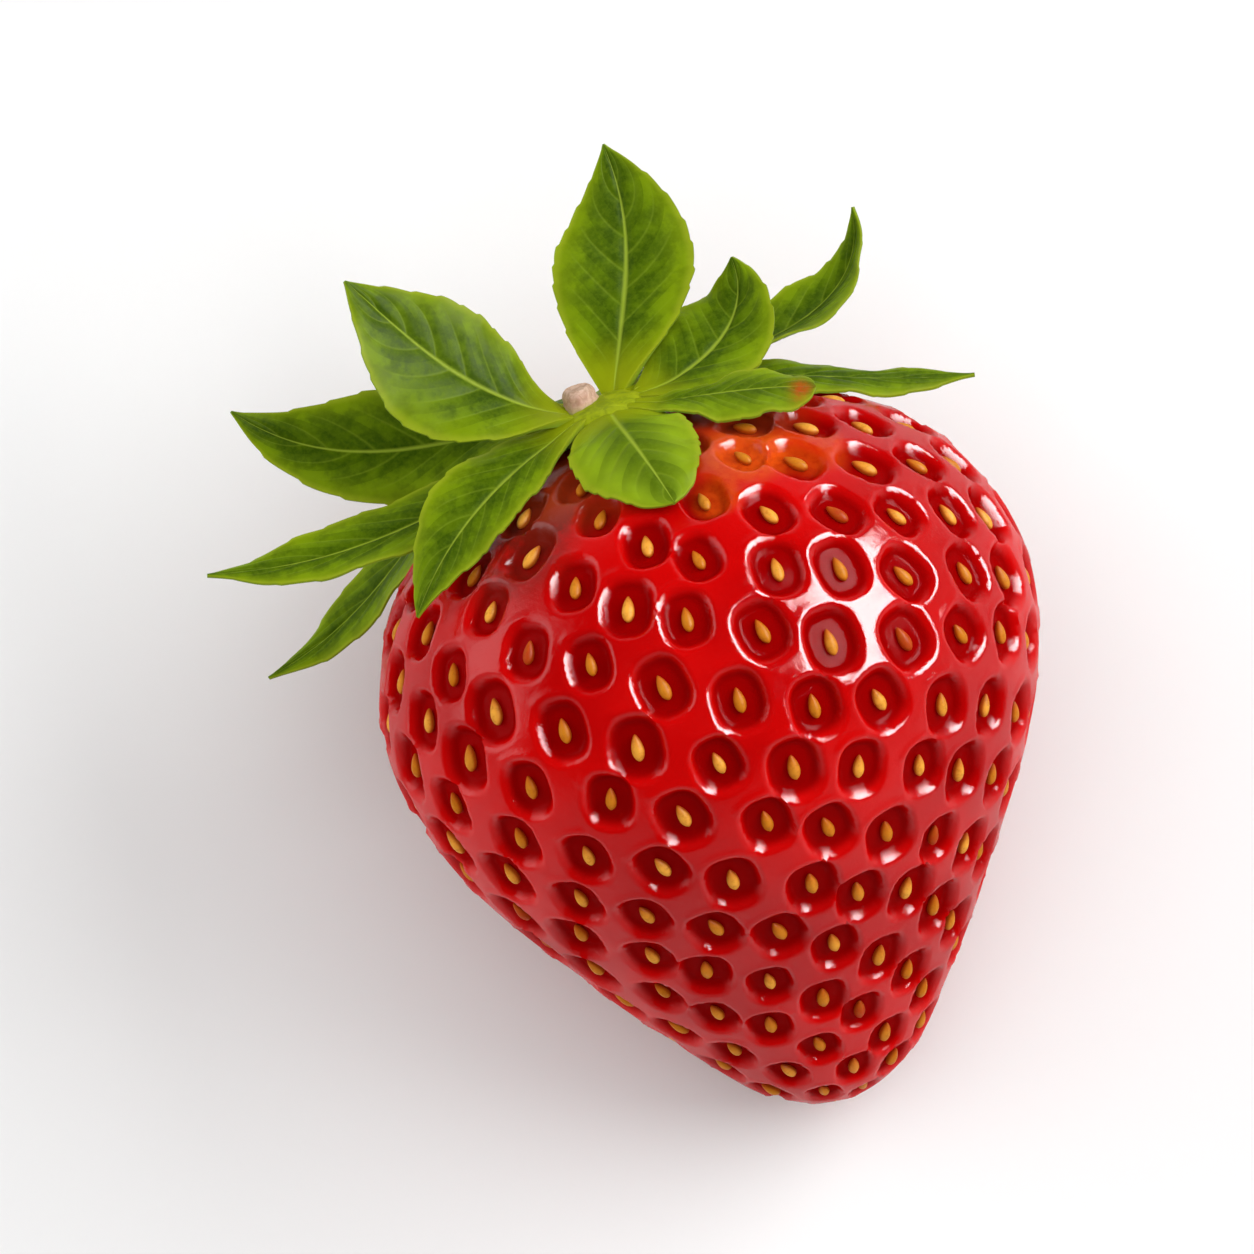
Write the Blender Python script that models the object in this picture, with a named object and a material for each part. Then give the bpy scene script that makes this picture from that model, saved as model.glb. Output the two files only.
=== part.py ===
"""A ripe strawberry as picked, lying on its flank: the berry, its calyx of small leaves and the stub.

Everything is modelled in the berry's own frame: the axis upright, the calyx on top at z = 0, +X to the
right and +Y towards the side that the berry lies on. One empty then lays that frame down, so that the
flat spot on the berry's flank is on the ground, z = 0, with its middle at the origin.
"""

import math
from dataclasses import dataclass

import bmesh
import bpy
from mathutils import Matrix, Vector
from mathutils.geometry import interpolate_bezier

MM = 0.001

# Driving dimensions, in metres and radians.
BERRY_LENGTH = 53.8 * MM
BERRY_RADIUS = 23.5 * MM
BERRY_FLATNESS = 0.95  # depth from the lying side to the upper side, as a share of the width
REST_TILT = math.radians(30)  # of the berry's axis above the ground, with the calyx end up
REST_FLATTENING = 0.45 * MM  # how far the flank is pressed flat where the berry lies on it
CALYX_SHIFT = -1.3 * MM  # the calyx sits a little to the left of the berry's axis
DISC_RADIUS = 3.2 * MM
SEPAL_LEVEL = 0.4 * MM  # height at which the inner ring of leaves meets the disc
BRACT_LEVEL = -0.5 * MM  # and the outer ring
LEAF_THICKNESS = 0.55 * MM
STUB_RADIUS = 1.15 * MM
STUB_LENGTH = 1.2 * MM
STUB_PLACE = (-1.5 * MM, 0.9 * MM)  # on the calyx disc, off its middle
GAP = 0.3 * MM  # between pieces that meet

# The berry's outline from the calyx to the tip, as shares of its length and of its radius.
BERRY_OUTLINE = (
    (0.032, 0.0),
    (0.024, 0.213),
    (0.045, 0.447),
    (0.104, 0.689),
    (0.195, 0.894),
    (0.344, 1.0),
    (0.520, 0.911),
    (0.714, 0.655),
    (0.864, 0.417),
    (0.959, 0.230),
    (1.0, 0.0),
)
# The berry isn't quite round: (how many bulges, how far each stands out as a share, its direction).
BERRY_BULGES = ((2, 0.008, 0.4), (3, 0.010, 1.9))
# The calyx disc's outline from its top's middle to its underside's middle, (radius, height) in mm.
DISC_OUTLINE = ((0.0, 0.8), (1.8, 0.8), (2.8, 0.6), (3.2, 0.1), (3.1, -0.5), (2.4, -0.9), (0.0, -1.0))

BERRY_SIDES = 48
OUTLINE_STEPS = 4  # rings for each stretch of the berry's outline
DISC_SIDES = 32
LEAF_ROWS = 12
LEAF_COLUMNS = 6
MIDRIB_REACH = 0.4  # of a midrib's two ends, as a share of the distance between them


@dataclass
class Leaf:
    """One leaf of the calyx. Lengths are in millimetres and angles in degrees.

    Places and directions are (right, towards the lying side, up) from the middle of the calyx.
    """

    name: str
    azimuth: float  # where it leaves the disc: 0 right, 90 towards the lying side, 180 left
    rise: float  # the slope at which it leaves the disc
    tip: tuple  # where its tip is
    end: tuple  # the direction in which its tip points
    width: float
    facing: tuple  # the direction in which the upper face of its outer part looks
    fold: float  # rise of each half from the midrib, like a shallow V
    turn: float = 0.5  # the share of its length over which it turns from looking up


# The inner ring of the calyx, and the outer ring below it.
SEPALS = (
    Leaf("sepal_upright", 66, 40, (5.7, 12.5, 15.3), (-0.1, 0.3, 1.0), 10.0, (-0.2, -1.0, 0.5), 10),
    Leaf("sepal_right_small", 4, 2, (11.8, 7.3, 6.0), (-0.1, 0.3, 1.0), 7.5, (-0.5, -1.0, 0.6), 8),
    Leaf("sepal_right_curled", 36, -6, (21.2, 13.0, 5.1), (0.1, 0.2, 1.0), 6.2, (-0.5, -0.5, 1.0), 25),
    Leaf("sepal_right_low", -36, 0, (14.3, -4.2, -1.6), (1.0, -0.2, -0.3), 5.2, (0.1, -0.3, 1.0), 0),
    Leaf("sepal_front", -85, 5, (2.4, -14.0, -3.3), (0.2, -0.8, -0.6), 9.0, (0.0, -0.3, 1.0), -8),
    Leaf("sepal_front_left", 216, -3, (-16.8, -9.5, -6.8), (-0.6, -0.4, -0.7), 6.4, (-0.3, -0.8, 0.8), 8),
    Leaf("sepal_left_raised", 181, 30, (-14.5, 2.0, 14.5), (-0.5, 0.1, 0.9), 9.8, (0.5, -1.0, 0.4), 8),
    Leaf("sepal_left_long", 151, -2, (-25.1, 8.0, 6.4), (-0.6, 0.1, 0.8), 8.2, (0.1, -1.0, 0.6), 8),
)
BRACTS = (
    Leaf("bract_right", 18, 3, (25.6, 6.0, -7.4), (1.0, -0.1, -0.15), 5.0, (0.2, 0.0, 1.0), 0),
    Leaf("bract_under_right", 78, 0, (6.5, 18.5, -5.0), (0.2, 0.7, -0.6), 6.5, (0.0, 0.5, 1.0), 5),
    Leaf("bract_under_left", 113, 0, (-11.0, 17.0, -5.0), (-0.5, 0.7, -0.6), 6.5, (-0.2, 0.5, 1.0), 5),
    Leaf("bract_left_low", 194, -8, (-30.0, -1.0, -1.8), (-1.0, 0.0, 0.3), 6.0, (-0.1, -0.4, 1.0), 8),
    Leaf("bract_left", 152, 1, (-28.8, 12.2, -14.5), (-1.0, 0.1, -0.2), 6.2, (-0.4, -0.6, 0.9), 8, 1.0),
)


def clear_scene():
    for obj in list(bpy.data.objects):
        bpy.data.objects.remove(obj)


def make_material(name, colour, roughness):
    material = bpy.data.materials.new(name)
    material.use_nodes = True
    shader = material.node_tree.nodes["Principled BSDF"]
    shader.inputs["Base Color"].default_value = (*colour, 1.0)
    shader.inputs["Roughness"].default_value = roughness
    shader.inputs["Metallic"].default_value = 0.0
    return material


def add_object(name, mesh_data, material, parent):
    """Turns a bmesh into a smooth-shaded object under parent."""
    mesh = bpy.data.meshes.new(name)
    bmesh.ops.recalc_face_normals(mesh_data, faces=mesh_data.faces)
    mesh_data.to_mesh(mesh)
    mesh_data.free()
    mesh.shade_smooth()
    mesh.set_sharp_from_angle(angle=math.radians(50))
    mesh.materials.append(material)
    obj = bpy.data.objects.new(name, mesh)
    bpy.context.scene.collection.objects.link(obj)
    obj.parent = parent
    return obj


def smooth_outline(points, steps):
    """A smooth curve through the points of half an outline that meets its axis at both ends.

    The points on the other side of the axis give the curve its direction at the ends.
    """
    ends = [Vector((points[1][0], -points[1][1])), Vector((points[-2][0], -points[-2][1]))]
    knots = [ends[0], *(Vector(p) for p in points), ends[1]]
    curve = []
    for before, start, end, after in zip(knots, knots[1:], knots[2:], knots[3:]):
        first = start + (end - before) / 6
        second = end - (after - start) / 6
        curve += interpolate_bezier(start, first, second, end, steps + 1)[:-1]
    return [*curve, knots[-2]]


def berry_radius(share, angle):
    """The berry's radius in a direction, for a point of its outline at this share of the full radius."""
    bulges = sum(size * math.cos(count * (angle - turn)) for count, size, turn in BERRY_BULGES)
    return BERRY_RADIUS * share * (1 + bulges)


def berry_point(outline_point, angle):
    depth, share = outline_point
    radius = berry_radius(share, angle)
    return Vector(
        (
            radius * math.cos(angle),
            radius * math.sin(angle) * BERRY_FLATNESS,
            -depth * BERRY_LENGTH,
        )
    )


def turned_mesh(outline, sides, point_of):
    """A closed surface from an outline whose first and last points are on the axis."""
    data = bmesh.new()
    top = data.verts.new(point_of(outline[0], 0.0))
    rings = [
        [data.verts.new(point_of(point, 2 * math.pi * k / sides)) for k in range(sides)]
        for point in outline[1:-1]
    ]
    bottom = data.verts.new(point_of(outline[-1], 0.0))
    for k in range(sides):
        following = (k + 1) % sides
        data.faces.new((top, rings[0][k], rings[0][following]))
        data.faces.new((bottom, rings[-1][following], rings[-1][k]))
        for upper, lower in zip(rings, rings[1:]):
            data.faces.new((upper[k], lower[k], lower[following], upper[following]))
    return data


def lay_down(outline):
    """The empty that tilts the berry's frame and puts its flat spot on the ground at the origin."""
    tilt = Matrix.Rotation(REST_TILT - math.pi / 2, 4, "X")
    lying_side = [tilt @ berry_point(point, math.pi / 2) for point in outline]
    lowest = min(lying_side, key=lambda point: point.z)
    empty = bpy.data.objects.new("lying_berry", None)
    bpy.context.scene.collection.objects.link(empty)
    empty.rotation_euler = (REST_TILT - math.pi / 2, 0, 0)
    empty.location = (0, -lowest.y, -lowest.z - REST_FLATTENING)
    return empty


def add_ground_cutter():
    """A block below the ground, which cuts the flat spot."""
    side = 4 * BERRY_RADIUS
    data = bmesh.new()
    bmesh.ops.create_cube(data, size=side)
    bmesh.ops.translate(data, verts=data.verts, vec=(0, 0, -side / 2))
    cutter = add_object("ground_cutter", data, None, None)
    cutter.hide_render = True
    cutter.display_type = "WIRE"
    return cutter


def add_berry(outline, material, parent):
    berry = add_object("berry", turned_mesh(outline, BERRY_SIDES, berry_point), material, parent)
    cut = berry.modifiers.new("flat spot", "BOOLEAN")
    cut.operation = "DIFFERENCE"
    cut.object = add_ground_cutter()
    return berry


def add_calyx_disc(material, parent):
    """The small disc on top of the berry that the leaves grow from."""

    def point_of(point, angle):
        radius, height = (value * MM for value in point)
        return Vector((radius * math.cos(angle), radius * math.sin(angle), height))

    return add_object(
        "calyx_disc", turned_mesh(DISC_OUTLINE, DISC_SIDES, point_of), material, parent
    )


def add_stem_stub(material, parent):
    """What is left of the stem, broken off just above the calyx."""
    data = bmesh.new()
    bmesh.ops.create_cone(
        data,
        cap_ends=True,
        segments=24,
        radius1=STUB_RADIUS * 1.15,
        radius2=STUB_RADIUS,
        depth=STUB_LENGTH,
    )
    bmesh.ops.translate(data, verts=data.verts, vec=(0, 0, STUB_LENGTH / 2))
    stub = add_object("stem_stub", data, material, parent)
    bevel = stub.modifiers.new("rounded end", "BEVEL")
    bevel.width = 0.3 * MM
    bevel.segments = 2
    stub.location = (*STUB_PLACE, DISC_OUTLINE[0][1] * MM + GAP)
    return stub


def leaf_width(along):
    """The leaf's width at a share of its length: a narrow neck, a full middle and a drawn-out tip."""
    neck = 0.11 * (1 - along) ** 3
    blade = 6.2 * along**1.4 * (1 - along) ** 1.25
    return neck + blade + 0.02


def midrib_frames(leaf, level, rows):
    """(point, sideways, upwards) at each row of a leaf that leaves the disc at this height."""
    azimuth = math.radians(leaf.azimuth)
    rise = math.radians(leaf.rise)
    outward = Vector((math.cos(azimuth), math.sin(azimuth), 0))
    start = outward * math.cos(rise) + Vector((0, 0, math.sin(rise)))
    end = Vector(leaf.end).normalized()
    base = outward * (DISC_RADIUS + GAP) + Vector((0, 0, level))
    tip = Vector(leaf.tip) * MM
    reach = (tip - base).length * MIDRIB_REACH
    points = interpolate_bezier(base, base + start * reach, tip - end * reach, tip, rows)
    frames = []
    for row, point in enumerate(points):
        ahead = points[min(row + 1, rows - 1)] - points[max(row - 1, 0)]
        turned = min(1.0, row / (rows - 1) / leaf.turn)
        upwards = Vector((0, 0, 1)).lerp(Vector(leaf.facing), turned)
        upwards -= ahead * upwards.dot(ahead) / ahead.length_squared
        upwards.normalize()
        frames.append((point, upwards.cross(ahead).normalized(), upwards))
    return frames


def leaf_sheet(leaf, level):
    """The leaf's middle surface, as a grid of quads."""
    data = bmesh.new()
    fold = math.radians(leaf.fold)
    grid = []
    for row, (point, sideways, upwards) in enumerate(midrib_frames(leaf, level, LEAF_ROWS)):
        half_width = leaf_width(row / (LEAF_ROWS - 1)) * leaf.width * MM / 2
        line = []
        for column in range(LEAF_COLUMNS + 1):
            offset = (2 * column / LEAF_COLUMNS - 1) * half_width
            place = point + sideways * offset * math.cos(fold) + upwards * abs(offset) * math.sin(fold)
            line.append(data.verts.new(place))
        grid.append(line)
    for near, far in zip(grid, grid[1:]):
        for column in range(LEAF_COLUMNS):
            data.faces.new((near[column], near[column + 1], far[column + 1], far[column]))
    return data


def add_leaf(leaf, level, material, parent):
    obj = add_object(leaf.name, leaf_sheet(leaf, level), material, parent)
    solid = obj.modifiers.new("thickness", "SOLIDIFY")
    solid.thickness = LEAF_THICKNESS
    solid.offset = 0
    return obj


def main():
    clear_scene()
    skin = make_material("berry_skin", (0.55, 0.01, 0.01), 0.25)
    green = make_material("leaf_green", (0.13, 0.27, 0.02), 0.45)
    pale_green = make_material("calyx_green", (0.30, 0.34, 0.03), 0.5)
    cut_stem = make_material("stem_end", (0.62, 0.45, 0.35), 0.6)

    outline = smooth_outline(BERRY_OUTLINE, OUTLINE_STEPS)
    lying_berry = lay_down(outline)
    add_berry(outline, skin, lying_berry)

    calyx = bpy.data.objects.new("calyx", None)
    bpy.context.scene.collection.objects.link(calyx)
    calyx.parent = lying_berry
    calyx.location = (CALYX_SHIFT, 0, 0)
    add_calyx_disc(pale_green, calyx)
    add_stem_stub(cut_stem, calyx)
    for leaf in SEPALS:
        add_leaf(leaf, SEPAL_LEVEL, green, calyx)
    for leaf in BRACTS:
        add_leaf(leaf, BRACT_LEVEL, green, calyx)


main()
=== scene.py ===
"""The looks of a ripe strawberry that lies on its flank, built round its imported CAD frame.

The berry, its seeds, the calyx and the stem's stub are modelled in the berry's own frame: the axis
upright, the calyx on top at z = 0, +X to the right and +Y towards the side that the berry lies on.
laid_down() then puts that frame where the CAD has it. Lengths are in metres unless a name or a
comment says mm, and angles are in radians unless a comment says degrees.
"""

import math
from dataclasses import dataclass

import bpy
import numpy as np
from mathutils import Matrix, Vector
from mathutils.geometry import interpolate_bezier


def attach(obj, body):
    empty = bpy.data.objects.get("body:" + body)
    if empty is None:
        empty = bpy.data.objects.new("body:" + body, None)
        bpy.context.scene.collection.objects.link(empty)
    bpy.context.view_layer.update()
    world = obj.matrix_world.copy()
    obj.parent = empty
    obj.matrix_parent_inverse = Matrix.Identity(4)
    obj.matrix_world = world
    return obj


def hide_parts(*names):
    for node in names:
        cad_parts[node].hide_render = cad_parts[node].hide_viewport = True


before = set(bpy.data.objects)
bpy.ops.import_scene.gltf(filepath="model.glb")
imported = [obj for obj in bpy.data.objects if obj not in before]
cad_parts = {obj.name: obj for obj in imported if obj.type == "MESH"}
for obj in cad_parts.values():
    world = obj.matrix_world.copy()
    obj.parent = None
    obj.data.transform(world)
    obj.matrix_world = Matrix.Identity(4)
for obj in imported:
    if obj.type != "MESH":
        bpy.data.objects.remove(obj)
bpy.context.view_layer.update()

MM = 0.001
SHARP_ANGLE = math.radians(55)  # between faces, from which an edge stays crisp

# ---- The berry, as in the CAD ----------------------------------------------------------------------
BERRY_LENGTH = 53.8 * MM
BERRY_RADIUS = 23.5 * MM
BERRY_FLATNESS = 0.95
REST_TILT = math.radians(30)
REST_FLATTENING = 0.45 * MM
CALYX_SHIFT = -1.3 * MM  # of the calyx along X from the berry's axis
# (depth, radius) from the calyx to the tip, as shares of the berry's length and radius.
BERRY_OUTLINE = (
    (0.032, 0.0),
    (0.024, 0.213),
    (0.045, 0.447),
    (0.104, 0.689),
    (0.195, 0.894),
    (0.344, 1.0),
    (0.520, 0.911),
    (0.714, 0.655),
    (0.864, 0.417),
    (0.959, 0.230),
    (1.0, 0.0),
)
# (lobes round the axis, share of the radius, turn).
BERRY_BULGES = ((2, 0.008, 0.4), (3, 0.010, 1.9))

# ---- The skin's pits and the seeds in them ---------------------------------------------------------
SKIN_DIVISIONS = 97  # along each edge of the icosahedron that the skin starts from
GOLDEN_ANGLE = math.radians(137.508)
FIRST_SEED_RADIUS = 7.65 * MM  # of the ring round the calyx where the seeds begin
# (share of the berry's length, mm between neighbouring seeds).
SEED_SPACING = ((0.03, 4.5), (0.12, 4.9), (0.28, 5.1), (0.52, 5.1), (0.72, 4.8), (0.88, 4.1), (1.0, 3.4))
PIT_WIDTH = 0.82  # this and the next two as shares of the distance between seeds
PIT_LENGTH = 0.97
PIT_DEPTH = 0.17
PIT_FLOOR = 0.64  # the share of a pit's half-width that its rounded floor takes
PIT_CORNERS = 2.6  # 2 is an ellipse, and more is squarer
PIT_DEPTH_SPREAD = 0.12  # how much pits differ, as a share of their depth
LIP_HEIGHT = 0.018  # of the pit's raised lip, as a share of the distance between seeds
LIP_PLACE = 1.06  # this and the next as shares of the pit's half-width
LIP_WIDTH = 0.10
SEED_LENGTH = 1.8 * MM
SEED_WIDTH = 0.82 * MM
SEED_HEIGHT = 0.75 * MM
SEED_LIFT = 0.22 * MM  # of a seed's middle above the bottom of its pit
SEED_ROWS = 11
SEED_COLUMNS = 14
SEED_SIZE_SPREAD = 0.08  # how much seeds differ, as a share of their size
SEED_WANDER = 0.05  # from the regular place, as a share of the distance between seeds
SEED_TWIST = 0.14  # away from the line to the calyx

# Patches near the calyx, each (place in mm, radius in mm, strength): orange skin, then painted shadow under
# the leaves that is partly brownish skin.
PALE_PATCHES = (
    ((6.7, -8.8, -2.6), 4.2, 1.0),
    ((4.0, -12.3, -4.4), 2.2, 0.7),
    ((11.5, -8.0, -4.0), 3.5, 0.5),
)
# Painted shadow under the leaves, partly brownish skin.
SHADOW_AND_BROWN_PATCHES = (
    ((-7.0, -6.5, -2.2), 5.5, 1.0),
    ((-10.0, -9.0, -4.2), 6.5, 0.9),
    ((8.8, -4.5, -2.1), 3.6, 0.8),
    ((-0.5, -7.5, -2.0), 5.0, 0.6),
)

# ---- The calyx, as in the CAD except where it says so ----------------------------------------------
DISC_RADIUS = 3.2 * MM
SEPAL_LEVEL = 0.4 * MM
BRACT_LEVEL = -0.5 * MM
STUB_RADIUS = 1.15 * MM
STUB_PLACE = (-1.5 * MM, 0.9 * MM)
STUB_BOTTOM = 0.5 * MM
STUB_TOP = 2.3 * MM
GAP = 0.3 * MM
MIDRIB_REACH = 0.4  # how far a midrib keeps to its first and last directions, as a share of its length
NECK_WIDTH_MM = 1.5  # of a leaf where it leaves the hub, finer than in the CAD
TIP_WIDTH_MM = 0.15  # of a leaf at its very tip, also finer
NECK_RADIUS = 2.3 * MM  # from the middle of the calyx to where a leaf starts, inside the hub

# ---- The leaves' relief, which the CAD leaves out --------------------------------------------------
LEAF_ROWS = 72
LEAF_COLUMNS = 32
FEWEST_TEETH = 9  # on each edge
TOOTH_HEIGHT = 0.17 * MM
LOPSIDEDNESS = 0.06  # how unequal a blade's halves are, as a share of their width
SIDE_VEINS = 7.0  # on each half of a blade
ROUND_LEAF_VEINS = 4.5
VEIN_SLANT = 0.30  # how far forward a side vein has gone at the edge, as a share of the leaf's length
WAVES = 2.1  # along each edge
WAVE_HEIGHT = 0.28 * MM
RIPPLES = 5.3  # along both edges at once
RIPPLE_HEIGHT = 0.10 * MM
DROOP_MM = 0.0125  # at 1 mm from the midrib, and more with the square of the distance
FOLD_SOFTNESS = 0.35 * MM  # of the fold along the midrib, as a radius
QUILTING = 0.13 * MM  # how far the fields between the veins rise
GROOVE_DEPTH = 0.11 * MM  # of the midrib on the upper side
GROOVE_WIDTH = 0.22 * MM
RIB_HEIGHT = 0.22 * MM  # of the midrib on the under side
RIB_WIDTH = 0.3 * MM
LEAF_THICKNESS = 0.34 * MM
EDGE_THINNING = 0.16 * MM  # how much thinner a leaf is at its edge
NECK_THICKENING = 0.5 * MM  # how much thicker it is where it leaves the hub

# How slowly a leaf's blade widens and narrows again.
POINTED = (1.1, 1.12)
BROAD = (0.9, 1.0)
BLUNT = (1.1, 0.5)
ROUND = (0.5, 0.62)


@dataclass
class Leaf:
    """One leaf of the calyx, as in the CAD. Lengths are in millimetres and angles in degrees.

    Places and directions are (right, towards the lying side, up) from the middle of the calyx.
    """

    name: str
    azimuth: float  # round the calyx, of where it leaves the disc
    rise: float  # above the disc's plane, of the way it leaves the disc
    tip: tuple
    end: tuple  # the way its tip points
    width: float
    facing: tuple  # the way its upper side looks
    fold: float  # of each half upwards along the midrib
    turn: float = 0.5  # the share of its length in which it turns from level to facing
    shape: tuple = POINTED  # this and the next two go beyond the CAD
    paleness: float = 0.25
    mark: float = 0.0  # how strong the orange mark near the tip is


SEPALS = (
    Leaf("sepal_upright", 66, 40, (5.7, 12.5, 15.3), (-0.1, 0.3, 1.0), 10.0, (-0.2, -1.0, 0.5), 10),
    Leaf(
        "sepal_right_small", 4, 2, (11.8, 7.3, 6.0), (-0.1, 0.3, 1.0), 8.0, (-0.5, -1.0, 0.6), 8,
        shape=BROAD,
    ),
    Leaf("sepal_right_curled", 36, -6, (21.2, 13.0, 5.1), (0.1, 0.2, 1.0), 6.2, (-0.5, -0.5, 1.0), 25),
    Leaf(
        "sepal_right_low", -36, 0, (14.3, -4.2, -1.6), (1.0, -0.2, -0.3), 5.2, (0.1, -0.3, 1.0), 0,
        shape=BLUNT, paleness=0.5, mark=1.0,
    ),
    Leaf(
        "sepal_front", -85, 5, (2.4, -14.0, -3.3), (0.2, -0.8, -0.6), 8.6, (0.0, -0.3, 1.0), -8,
        shape=ROUND, paleness=1.0,
    ),
    Leaf("sepal_front_left", 216, -3, (-16.8, -9.5, -6.8), (-0.6, -0.4, -0.7), 6.4, (-0.3, -0.8, 0.8), 8),
    Leaf("sepal_left_raised", 181, 30, (-14.5, 2.0, 14.5), (-0.5, 0.1, 0.9), 9.8, (0.5, -1.0, 0.4), 8),
    Leaf("sepal_left_long", 151, -2, (-25.1, 8.0, 6.4), (-0.6, 0.1, 0.8), 8.2, (0.1, -1.0, 0.6), 8),
)
BRACTS = (
    Leaf("bract_right", 18, 3, (25.6, 6.0, -7.4), (1.0, -0.1, -0.15), 4.6, (0.1, -0.25, 1.0), 0),
    Leaf("bract_under_right", 78, 0, (6.5, 18.5, -5.0), (0.2, 0.7, -0.6), 6.5, (0.0, 0.5, 1.0), 5),
    Leaf("bract_under_left", 113, 0, (-11.0, 17.0, -5.0), (-0.5, 0.7, -0.6), 6.5, (-0.2, 0.5, 1.0), 5),
    Leaf("bract_left_low", 194, -8, (-30.0, -1.0, -1.8), (-1.0, 0.0, 0.3), 6.0, (-0.1, -0.4, 1.0), 8),
    Leaf("bract_left", 152, 1, (-28.8, 12.2, -14.5), (-1.0, 0.1, -0.2), 6.2, (-0.4, -0.6, 0.9), 8, turn=1.0),
)

# ---- The camera, which looks down on the berry -----------------------------------------------------
VIEW_RISE = math.radians(18)  # of the camera above the calyx's plane
VIEW_ROLL = math.radians(18.1)  # of the berry's axis as the camera sees it, its calyx to the left
CAMERA_DISTANCE = 0.6
CAMERA_LENS_MM = 247
VIEW_CENTRE = (-3.3 * MM, -14.5 * MM)  # right and up from the calyx, with the berry upright

# ---- The studio. Directions are (right, up, towards the camera) as the camera sees them ------------
KEY_DIRECTION = (0.68, 0.40, 0.62)
KEY_SIZE = (0.27, 0.48)
KEY_DISTANCE = 0.5
KEY_WATTS = 2.1
SHINE_DISTANCE = 0.49
SHINE_WATTS = 16.0
LEFT_DIRECTION = (-0.95, 0.2, 0.2)
LEFT_SIZE = (0.35, 0.55)
LEFT_DISTANCE = 0.6
LEFT_WATTS = 1.5
FILL_DIRECTION = (-0.1, 0.2, 1.0)
FILL_STRENGTH = 1.6  # in watts for each square metre
FILL_SPREAD = math.radians(70)
WALL_LIGHT = 0.7
CEILING_LIGHT = 0.04
WALL_BRIGHT_TO = 0.05  # the sine of the height up to which the walls are bright
WALL_DARK_FROM = 0.55
FLOOR_HALF_SIDE = 3.0
FLOOR_LEVEL = -0.02 * MM  # just clear of the berry's flat spot

# ---- Colours, as linear red, green and blue --------------------------------------------------------
DEEP_RED = (0.45, 0.0005, 0.0008)
BRIGHT_RED = (0.59, 0.0014, 0.0013)
# Painted shade: the darker red deep in the pits.
PIT_SHADE_RED = (0.25, 0.0002, 0.0005)
FLECK_RED = (0.62, 0.02, 0.008)
# Painted shadow under the leaves, on partly brownish skin.
SHADOW_AND_BROWN_RED = (0.17, 0.008, 0.004)
SKIN_ORANGE = (0.66, 0.075, 0.004)
SHOULDER_ORANGE = (0.55, 0.06, 0.01)

SEED_GOLD = (0.60, 0.20, 0.010)
SEED_YELLOW = (0.86, 0.40, 0.05)
SEED_RUST = (0.45, 0.05, 0.006)
SEED_POINT = (0.52, 0.10, 0.006)
SEED_GRAIN = (0.42, 0.11, 0.006)
SEED_FOOT = (0.38, 0.045, 0.002)

LEAF_DARK = (0.026, 0.062, 0.0003)
LEAF_LIGHT = (0.13, 0.215, 0.0008)
LEAF_PALE = (0.30, 0.44, 0.014)
LEAF_MIDDLE = (0.022, 0.056, 0.0004)
# Painted shade in the fields between the side veins.
LEAF_SHADE = (0.014, 0.04, 0.0003)
LEAF_OUTER = (0.20, 0.28, 0.003)
LEAF_GRAIN = (0.20, 0.30, 0.01)
LEAF_NECK = (0.25, 0.30, 0.003)
LEAF_MARGIN = (0.34, 0.39, 0.02)
SIDE_VEIN = (0.25, 0.35, 0.02)
MIDRIB = (0.36, 0.46, 0.04)
LEAF_MARK = (0.42, 0.07, 0.008)
LEAF_BELOW = (0.17, 0.26, 0.02)
VEIN_BELOW = (0.36, 0.44, 0.10)

HUB_GREEN = (0.21, 0.27, 0.003)
HUB_YELLOW = (0.34, 0.40, 0.006)
HUB_BELOW = (0.14, 0.22, 0.004)
STUB_TAN = (0.46, 0.29, 0.20)
STUB_PALE = (0.66, 0.47, 0.36)
STUB_RIM = (0.62, 0.30, 0.24)
STUB_FOOT = (0.30, 0.34, 0.06)
FLOOR_GREY = (0.88, 0.88, 0.88)


# ---- Small helpers ---------------------------------------------------------------------------------
def smoothstep(values, low, high):
    """Goes smoothly from 0 to 1 as values go from low to high."""
    share = np.clip((values - low) / (high - low), 0, 1)
    return share * share * (3 - 2 * share)


def unit(vectors):
    return vectors / np.linalg.norm(vectors, axis=-1, keepdims=True)


def add_mesh(name, points, faces, attributes=None):
    """A smooth-shaded mesh object with crisp rims, and one number for each point in each attribute."""
    mesh = bpy.data.meshes.new(name)
    mesh.from_pydata([tuple(p) for p in points], [], [tuple(f) for f in faces])
    for key, values in (attributes or {}).items():
        layer = mesh.attributes.new(key, "FLOAT", "POINT")
        layer.data.foreach_set("value", np.asarray(values, np.float32))
    mesh.shade_smooth()
    mesh.set_sharp_from_angle(angle=SHARP_ANGLE)
    obj = bpy.data.objects.new(name, mesh)
    bpy.context.scene.collection.objects.link(obj)
    return obj


def grid_faces(rows, columns, start=0, flip=False):
    """Quads between the points of a grid that are numbered row by row."""
    corner = start + np.arange(rows - 1)[:, None] * columns + np.arange(columns - 1)[None, :]
    quads = np.stack([corner, corner + 1, corner + columns + 1, corner + columns], -1).reshape(-1, 4)
    return quads[:, ::-1] if flip else quads


# ---- The berry's smooth surface --------------------------------------------------------------------
def smooth_outline(points, steps):
    """A smooth curve through half an outline, which meets its axis at both ends."""
    ends = [Vector((points[1][0], -points[1][1])), Vector((points[-2][0], -points[-2][1]))]
    knots = [ends[0], *(Vector(p) for p in points), ends[1]]
    curve = []
    for before, start, end, after in zip(knots, knots[1:], knots[2:], knots[3:]):
        first = start + (end - before) / 6
        second = end - (after - start) / 6
        curve += interpolate_bezier(start, first, second, end, steps + 1)[:-1]
    return np.array([tuple(p) for p in [*curve, knots[-2]]])


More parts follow.
